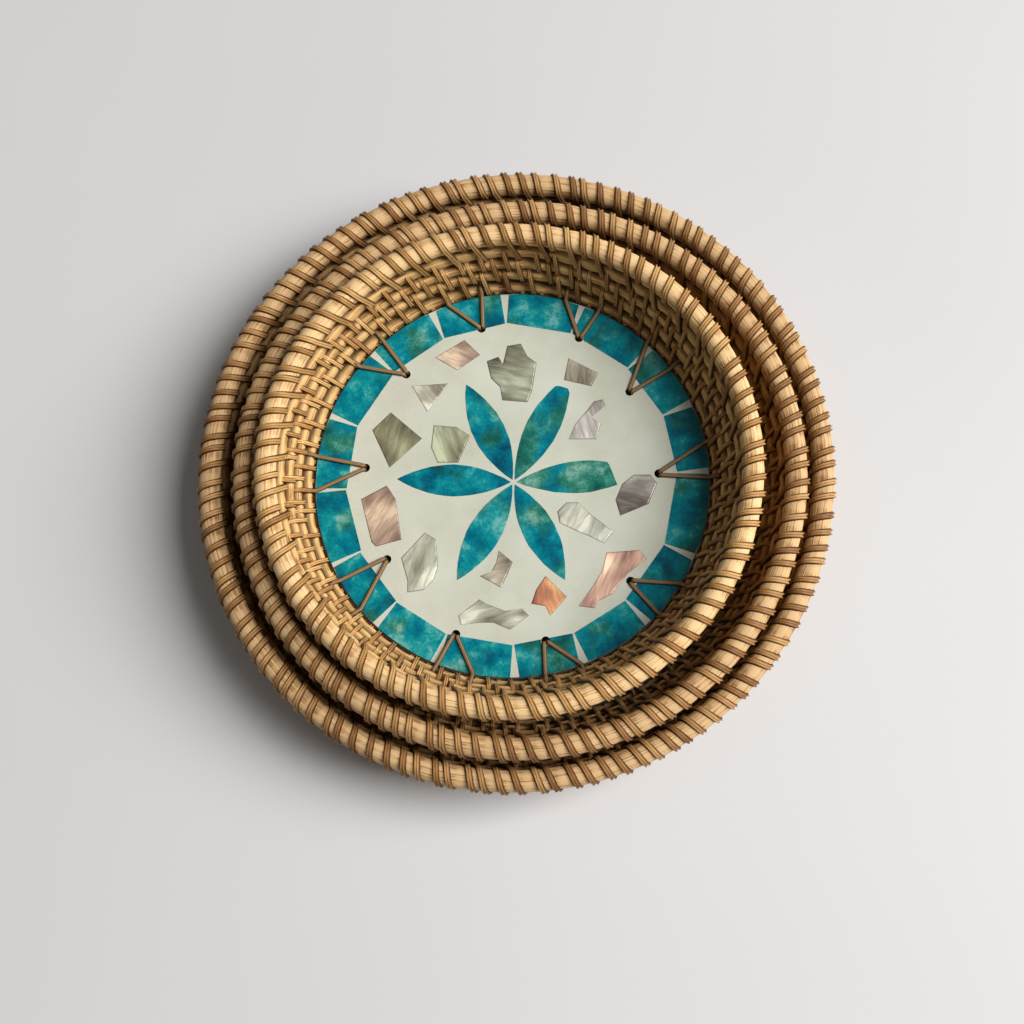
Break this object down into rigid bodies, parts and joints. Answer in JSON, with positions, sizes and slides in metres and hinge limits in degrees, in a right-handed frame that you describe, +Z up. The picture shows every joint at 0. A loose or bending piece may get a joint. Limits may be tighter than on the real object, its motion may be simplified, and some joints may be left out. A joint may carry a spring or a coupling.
{
  "type": "nest of round rattan trays",
  "caption": "Nest of round coiled-rattan trays, each with a peel-bound rim and a resin base inlaid with dyed shell and laced to the wall; the smaller trays lift out of the larger.",
  "frame": {"origin": "middle of the large tray's foot, on the plane it stands on", "axes": "+Z up out of the trays; +X and +Y across, +X to the right in the picture"},
  "size_m": [0.2692, 0.2695, 0.0646],
  "materials": {
    "cane": "bare straw-coloured core cane with lengthwise grain",
    "rim_cane": "bare thick rim cane, lightly varnished",
    "cane_peel": "glossy brown cane peel",
    "lacing_cane": "thin split cane, satin",
    "black_board": "thin board stained black",
    "cream_resin": "glossy cream resin",
    "teal_shell": "polished shell dyed teal"
  },
  "bodies": {
    "large_tray": {"large_foot_coil": "cane", "large_base_board": "black_board", "large_resin_face": "cream_resin", "large_wall_row_1": "cane", "large_wall_row_2": "cane", "large_wall_row_3": "cane", "large_wall_row_4": "cane", "large_base_lacing": "lacing_cane", "large_rim_cane": "rim_cane", "large_rim_binding": "cane_peel"},
    "medium_tray": {"medium_foot_coil": "cane", "medium_base_board": "black_board", "medium_resin_face": "cream_resin", "medium_wall_row_1": "cane", "medium_wall_row_2": "cane", "medium_wall_row_3": "cane", "medium_wall_row_4": "cane", "medium_base_lacing": "lacing_cane", "medium_rim_cane": "rim_cane", "medium_rim_binding": "cane_peel"},
    "small_tray": {"small_foot_coil": "cane", "small_base_board": "black_board", "small_resin_face": "cream_resin", "small_petal_1": "teal_shell", "small_petal_2": "teal_shell", "small_petal_3": "teal_shell", "small_petal_4": "teal_shell", "small_petal_5": "teal_shell", "small_petal_6": "teal_shell", "small_border_tile_1": "teal_shell", "small_border_tile_2": "teal_shell", "small_border_tile_3": "teal_shell", "small_border_tile_4": "teal_shell", "small_border_tile_5": "teal_shell", "small_border_tile_6": "teal_shell", "small_border_tile_7": "teal_shell", "small_border_tile_8": "teal_shell", "small_border_tile_9": "teal_shell", "small_border_tile_10": "teal_shell", "small_border_tile_11": "teal_shell", "small_border_tile_12": "teal_shell", "small_border_tile_13": "teal_shell", "small_border_tile_14": "teal_shell", "small_border_tile_15": "teal_shell", "small_border_tile_16": "teal_shell", "small_wall_row_1": "cane", "small_wall_row_2": "cane", "small_wall_row_3": "cane", "small_wall_row_4": "cane", "small_base_lacing": "lacing_cane", "small_rim_cane": "rim_cane", "small_rim_binding": "cane_peel"}
  },
  "joints": [
    {"name": "medium_tray_lift", "type": "slide", "parent": "large_tray", "child": "medium_tray", "axis": [0, 0, 1], "range_m": [0, 0.06]},
    {"name": "small_tray_lift", "type": "slide", "parent": "medium_tray", "child": "small_tray", "axis": [0, 0, 1], "range_m": [0, 0.06]}
  ]
}
